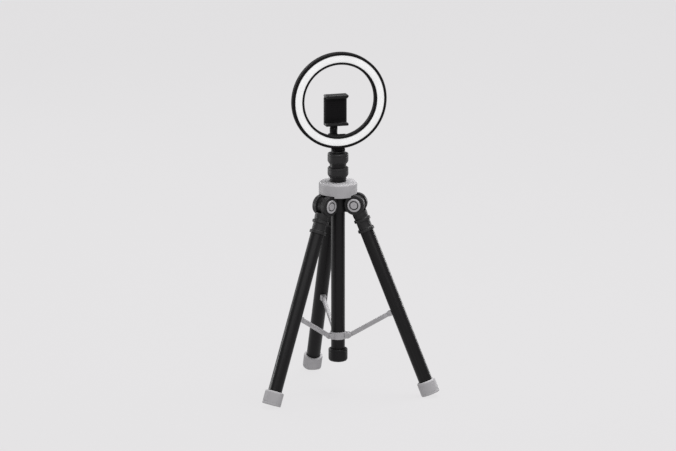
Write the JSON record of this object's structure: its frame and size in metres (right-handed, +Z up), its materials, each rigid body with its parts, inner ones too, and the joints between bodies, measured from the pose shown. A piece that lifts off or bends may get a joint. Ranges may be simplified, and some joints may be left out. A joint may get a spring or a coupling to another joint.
{
  "type": "ring light",
  "caption": "Ring-shaped LED lamp with a sprung phone clamp in its opening, on a short column over a folding tripod with spreader struts.",
  "frame": {"origin": "bottom centre of the bounding box, on the floor", "axes": "+Z up, the lamp faces -Y, one leg points to +Y"},
  "size_m": [0.3822, 0.3365, 0.7245],
  "materials": {
    "black_plastic": "satin moulded",
    "black_tube": "satin black coat on thin tube",
    "grey_plastic": "fine matte",
    "foot_rubber": "matte",
    "pad_rubber": "matte",
    "steel": "turned",
    "diffuser": "frosted, opal",
    "light_guide": "frosted sheet",
    "led_board": "white solder mask"
  },
  "bodies": {
    "hub": {"hub_body": "black_plastic", "hub_cap": "grey_plastic", "column_sleeve": "black_tube", "pole_bush": "black_plastic"},
    "collar_lower": {"lock_collar_lower": "black_plastic"},
    "collar_upper": {"lock_collar_upper": "black_plastic"},
    "centre": {"centre_tube": "black_tube", "column_bottom_cap": "black_plastic", "spreader_collar": "grey_plastic"},
    "leg_a": {"leg_a_knuckle": "black_plastic", "leg_a_pin": "steel", "leg_a_cap_left": "grey_plastic", "leg_a_cap_right": "grey_plastic", "leg_a_tube": "black_tube", "leg_a_foot": "foot_rubber", "leg_a_bracket": "grey_plastic", "leg_a_strut_pin": "steel"},
    "strut_a_body": {"strut_a": "grey_plastic"},
    "leg_b": {"leg_b_knuckle": "black_plastic", "leg_b_pin": "steel", "leg_b_cap_left": "grey_plastic", "leg_b_cap_right": "grey_plastic", "leg_b_tube": "black_tube", "leg_b_foot": "foot_rubber", "leg_b_bracket": "grey_plastic", "leg_b_strut_pin": "steel"},
    "strut_b_body": {"strut_b": "grey_plastic"},
    "leg_c": {"leg_c_knuckle": "black_plastic", "leg_c_pin": "steel", "leg_c_cap_left": "grey_plastic", "leg_c_cap_right": "grey_plastic", "leg_c_tube": "black_tube", "leg_c_foot": "foot_rubber", "leg_c_bracket": "grey_plastic", "leg_c_strut_pin": "steel"},
    "strut_c_body": {"strut_c": "grey_plastic"},
    "pole": {"inner_pole": "black_tube"},
    "head": {"head_base": "black_plastic", "tilt_pin": "steel"},
    "lamp": {"ring_mount_block": "black_plastic", "ring_rear_housing": "black_plastic", "ring_outer_bezel": "black_plastic", "ring_inner_bezel": "black_plastic", "diffuser": "diffuser", "light_guide": "light_guide", "led_board": "led_board", "power_inlet": "black_plastic", "clamp_arm": "black_plastic"},
    "clamp": {"clamp_body": "black_plastic", "swivel_pin": "steel", "clamp_pad_lower": "pad_rubber", "clamp_pad_back": "pad_rubber"},
    "jaw": {"clamp_jaw": "black_plastic", "clamp_rod_left": "steel", "clamp_rod_right": "steel", "clamp_pad_upper": "pad_rubber"}
  },
  "joints": [
    {"name": "leg_a_fold", "type": "hinge", "parent": "hub", "child": "leg_a", "pos_m": [-0.03343, -0.06861, 0.4034], "axis": [0.5, -0.866, 0], "range_deg": [0, 18]},
    {"name": "strut_a_hinge", "type": "hinge", "parent": "leg_a", "child": "strut_a_body", "pos_m": [-0.09555, -0.10448, 0.17246], "axis": [0.5, -0.866, 0], "range_deg": [-71.4, 0]},
    {"name": "leg_b_fold", "type": "hinge", "parent": "hub", "child": "leg_b", "pos_m": [0.03343, -0.06861, 0.4034], "axis": [0.5, 0.866, 0], "range_deg": [0, 18.01]},
    {"name": "strut_b_hinge", "type": "hinge", "parent": "leg_b", "child": "strut_b_body", "pos_m": [0.09555, -0.10448, 0.17246], "axis": [0.5, 0.866, 0], "range_deg": [-71.4, 0]},
    {"name": "leg_c_fold", "type": "hinge", "parent": "hub", "child": "leg_c", "pos_m": [0, -0.01071, 0.4034], "axis": [-1, 0, 0], "range_deg": [0, 18.01]},
    {"name": "strut_c_hinge", "type": "hinge", "parent": "leg_c", "child": "strut_c_body", "pos_m": [0, 0.06103, 0.17246], "axis": [-1, 0, 0], "range_deg": [-71.4, 0]},
    {"name": "centre_tube_drop", "type": "slide", "parent": "hub", "child": "centre", "axis": [0, 0, -1], "range_m": [0, 0.05809]},
    {"name": "collar_lower_twist", "type": "hinge", "parent": "hub", "child": "collar_lower", "pos_m": [0, -0.04931, 0.47], "axis": [0, 0, 1], "range_deg": [0, 90]},
    {"name": "collar_upper_twist", "type": "hinge", "parent": "hub", "child": "collar_upper", "pos_m": [0, -0.04931, 0.499], "axis": [0, 0, 1], "range_deg": [0, 90]},
    {"name": "pole_height", "type": "slide", "parent": "hub", "child": "pole", "axis": [0, 0, 1], "range_m": [0, 0.14]},
    {"name": "head_pan", "type": "hinge", "parent": "pole", "child": "head", "pos_m": [0, -0.04931, 0.514], "axis": [0, 0, 1], "continuous": true},
    {"name": "head_tilt", "type": "hinge", "parent": "head", "child": "lamp", "pos_m": [0, -0.04931, 0.516], "axis": [1, 0, 0], "range_deg": [-25, 20]},
    {"name": "clamp_swivel", "type": "hinge", "parent": "lamp", "child": "clamp", "pos_m": [0, -0.02431, 0.596], "axis": [0, -1, 0], "range_deg": [-90, 90]},
    {"name": "jaw_open", "type": "slide", "parent": "clamp", "child": "jaw", "axis": [0, 0, 1], "range_m": [0, 0.038], "stiffness_N_per_m": 150, "springref_m": -0.02}
  ],
  "couplings": [
    {"joint": "strut_a_hinge", "follows": "leg_a_fold", "ratio": -3.964},
    {"joint": "leg_b_fold", "follows": "leg_a_fold", "ratio": 1},
    {"joint": "strut_b_hinge", "follows": "leg_a_fold", "ratio": -3.964},
    {"joint": "leg_c_fold", "follows": "leg_a_fold", "ratio": 1},
    {"joint": "strut_c_hinge", "follows": "leg_a_fold", "ratio": -3.964},
    {"joint": "centre_tube_drop", "follows": "leg_a_fold", "m_per_rad": 0.18459}
  ]
}
